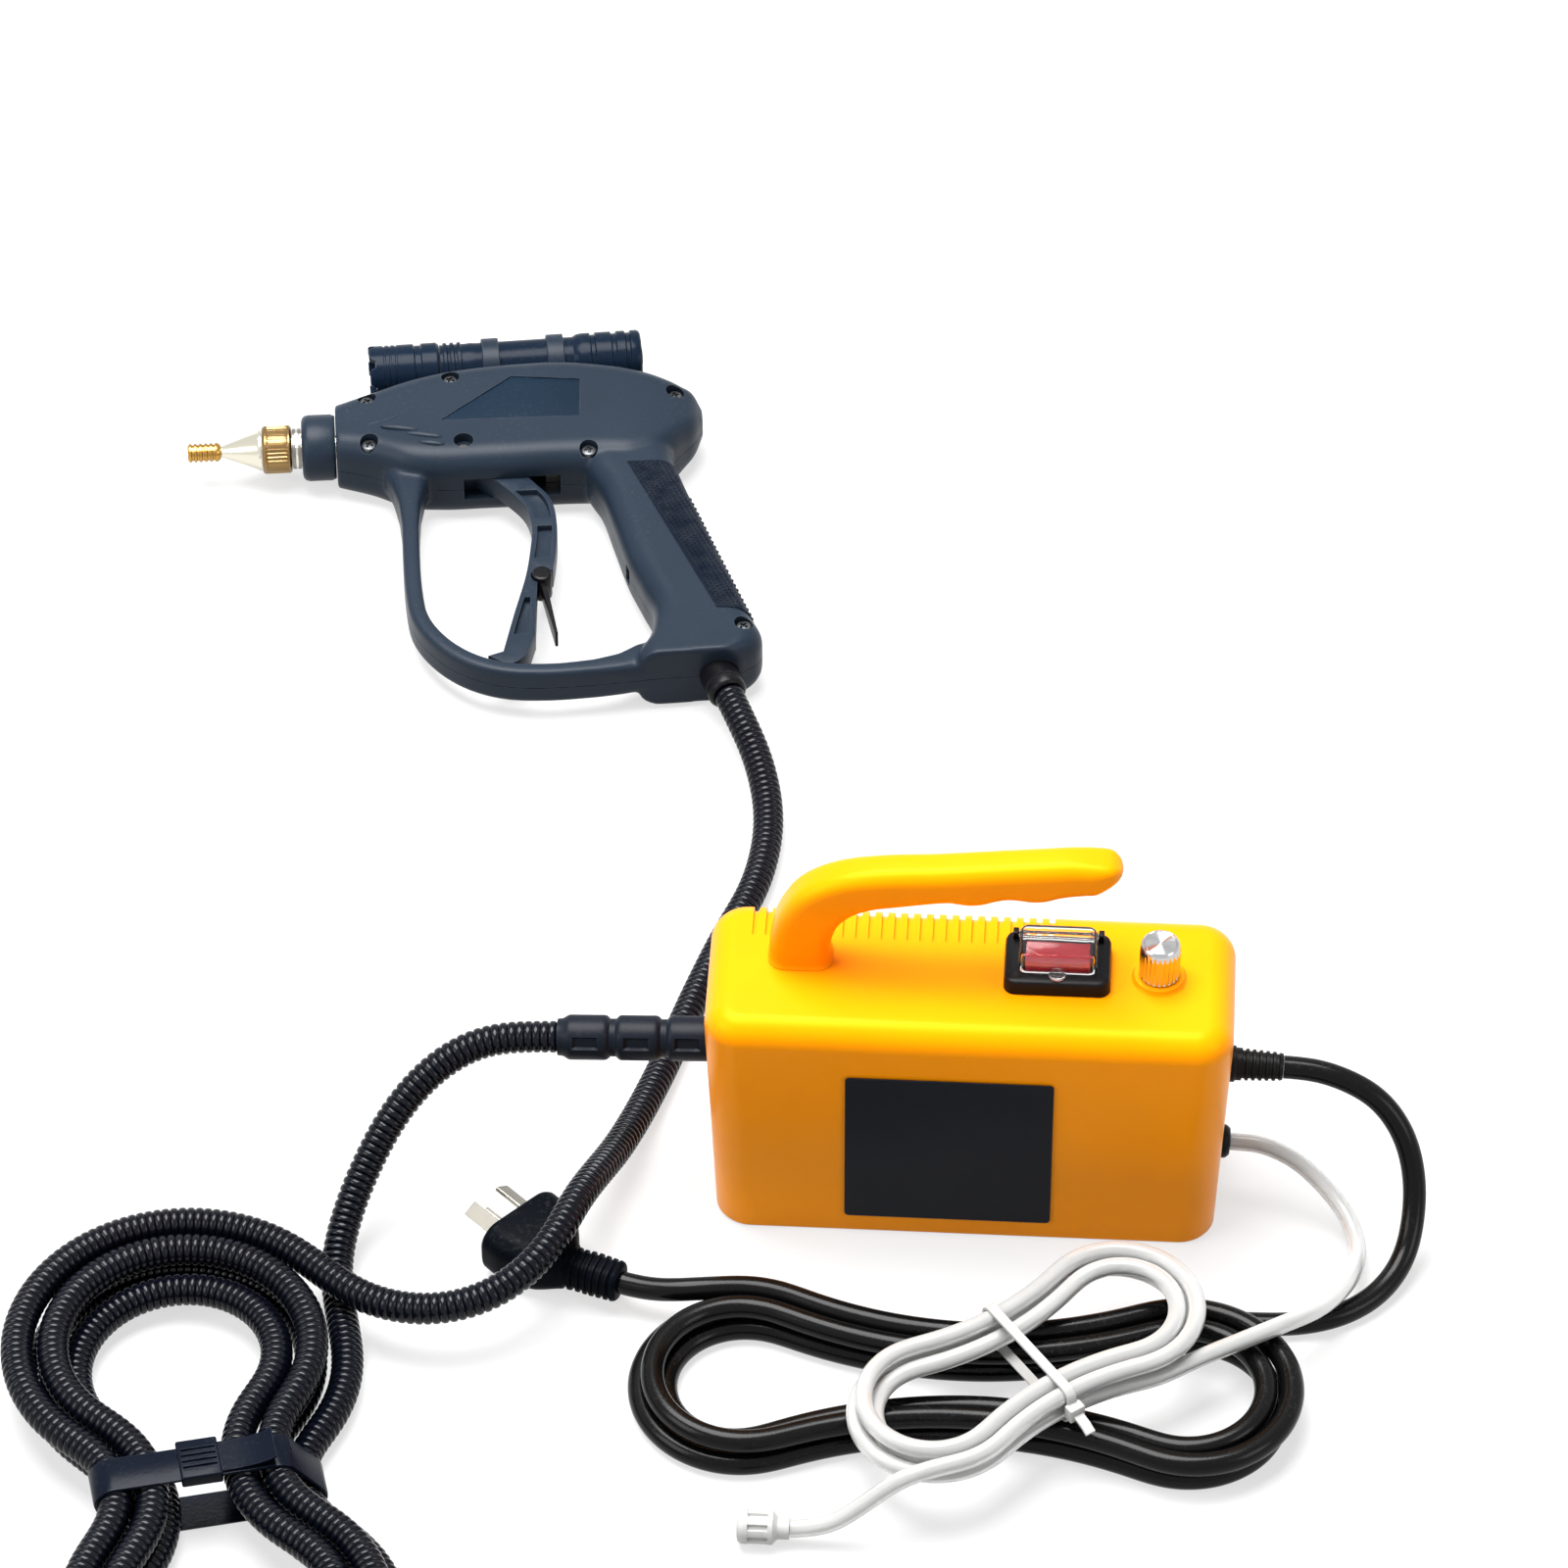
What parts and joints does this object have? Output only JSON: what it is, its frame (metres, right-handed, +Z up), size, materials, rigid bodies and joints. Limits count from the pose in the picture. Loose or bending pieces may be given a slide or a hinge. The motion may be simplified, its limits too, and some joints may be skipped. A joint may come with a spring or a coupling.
{
  "type": "wallpaper steamer",
  "caption": "Portable steam box with carrying handle, covered switch and knob, and a trigger steam gun with torch, with steam hose, mains cord and water tube in tied hanks.",
  "frame": {"origin": "centre of the box's base, on the floor", "axes": "+Z up, -Y out of the box's label side, +X towards the box's power cord end"},
  "size_m": [0.5353, 0.7825, 0.1694],
  "materials": {
    "yellow_plastic": "glossy moulded",
    "black_plastic": "satin moulded",
    "torch_metal": "black anodised",
    "soft_rubber": "matt",
    "black_hose": "glossy corrugated",
    "black_cord": "glossy sheath",
    "slate_plastic": "satin moulded",
    "red_plastic": "glossy moulded",
    "clear_plastic": "clear",
    "chrome": "polished",
    "steel": "plain",
    "brass": "turned",
    "board": "coated",
    "milky_tube": "translucent silicone",
    "white_plastic": "plain"
  },
  "bodies": {
    "steamer": {"casing": "yellow_plastic", "handle": "yellow_plastic", "base_plate": "black_plastic", "label_plate": "black_plastic", "switch_body": "black_plastic", "hose_fitting": "black_plastic", "hose_gland": "black_plastic", "plug_body": "black_plastic", "torch_head": "torch_metal", "torch_body": "torch_metal", "power_gland": "soft_rubber", "inlet_grommet": "soft_rubber", "grip_pad": "soft_rubber", "hose_tie": "soft_rubber", "hose_at_box": "black_hose", "hose_hank": "black_hose", "hose_at_gun": "black_hose", "cord_at_box": "black_cord", "cord_hank": "black_cord", "cord_lead": "black_cord", "gun_left_shell": "slate_plastic", "gun_right_shell": "slate_plastic", "nose_collar": "slate_plastic", "torch_clip_front": "slate_plastic", "torch_clip_rear": "slate_plastic", "torch_lens": "clear_plastic", "potentiometer": "steel", "boiler": "steel", "pump": "steel", "pivot_pin": "steel", "plug_blade_live": "steel", "plug_blade_neutral": "steel", "plug_blade_earth": "steel", "base_screw_1": "steel", "base_screw_2": "steel", "base_screw_3": "steel", "base_screw_4": "steel", "gun_screw_1": "steel", "gun_screw_2": "steel", "gun_screw_3": "steel", "gun_screw_4": "steel", "gun_screw_5": "steel", "gun_screw_6": "steel", "valve": "brass", "nozzle_nut": "brass", "nozzle": "brass", "control_board": "board", "tube_at_box": "milky_tube", "tube_hank": "milky_tube", "tube_tail": "milky_tube", "tube_tie": "white_plastic", "strainer": "white_plastic"},
    "switch_rocker_body": {"switch_rocker": "red_plastic"},
    "switch_cover_body": {"switch_cover": "clear_plastic"},
    "knob_body": {"knob": "chrome"},
    "trigger_body": {"trigger": "slate_plastic"},
    "valve_pin_body": {"valve_pin": "steel"},
    "trigger_lock_body": {"trigger_lock": "black_plastic"},
    "torch_button_body": {"torch_button": "soft_rubber"}
  },
  "joints": [
    {"name": "rocker_tip", "type": "hinge", "parent": "steamer", "child": "switch_rocker_body", "pos_m": [0.0325, 0.003, 0.1173], "axis": [1, 0, 0], "range_deg": [0, 16]},
    {"name": "cover_hinge", "type": "hinge", "parent": "steamer", "child": "switch_cover_body", "pos_m": [0.0325, 0.0131, 0.1206], "axis": [-1, 0, 0], "range_deg": [0, 100]},
    {"name": "knob_turn", "type": "hinge", "parent": "steamer", "child": "knob_body", "pos_m": [0.071, 0.001, 0.1143], "axis": [0, 0, 1], "range_deg": [-150, 150]},
    {"name": "trigger_pull", "type": "hinge", "parent": "steamer", "child": "trigger_body", "pos_m": [-0.227, 0.379, 0.017], "axis": [0, 0, 1], "range_deg": [0, 15], "stiffness_Nm_per_rad": 2},
    {"name": "valve_pin_slide", "type": "slide", "parent": "steamer", "child": "valve_pin_body", "axis": [0.9925, 0.1219, 0], "range_m": [0, 0.0027]},
    {"name": "lock_swing", "type": "hinge", "parent": "trigger_body", "child": "trigger_lock_body", "pos_m": [-0.18893, 0.31023, 0.017], "axis": [0, 0, -1], "range_deg": [-87, 0]},
    {"name": "torch_button_press", "type": "slide", "parent": "steamer", "child": "torch_button_body", "axis": [-0.9883, -0.1525, 0], "range_m": [0, 0.0015], "stiffness_N_per_m": 800}
  ],
  "couplings": [
    {"joint": "valve_pin_slide", "follows": "trigger_pull", "m_per_rad": 0.01}
  ]
}
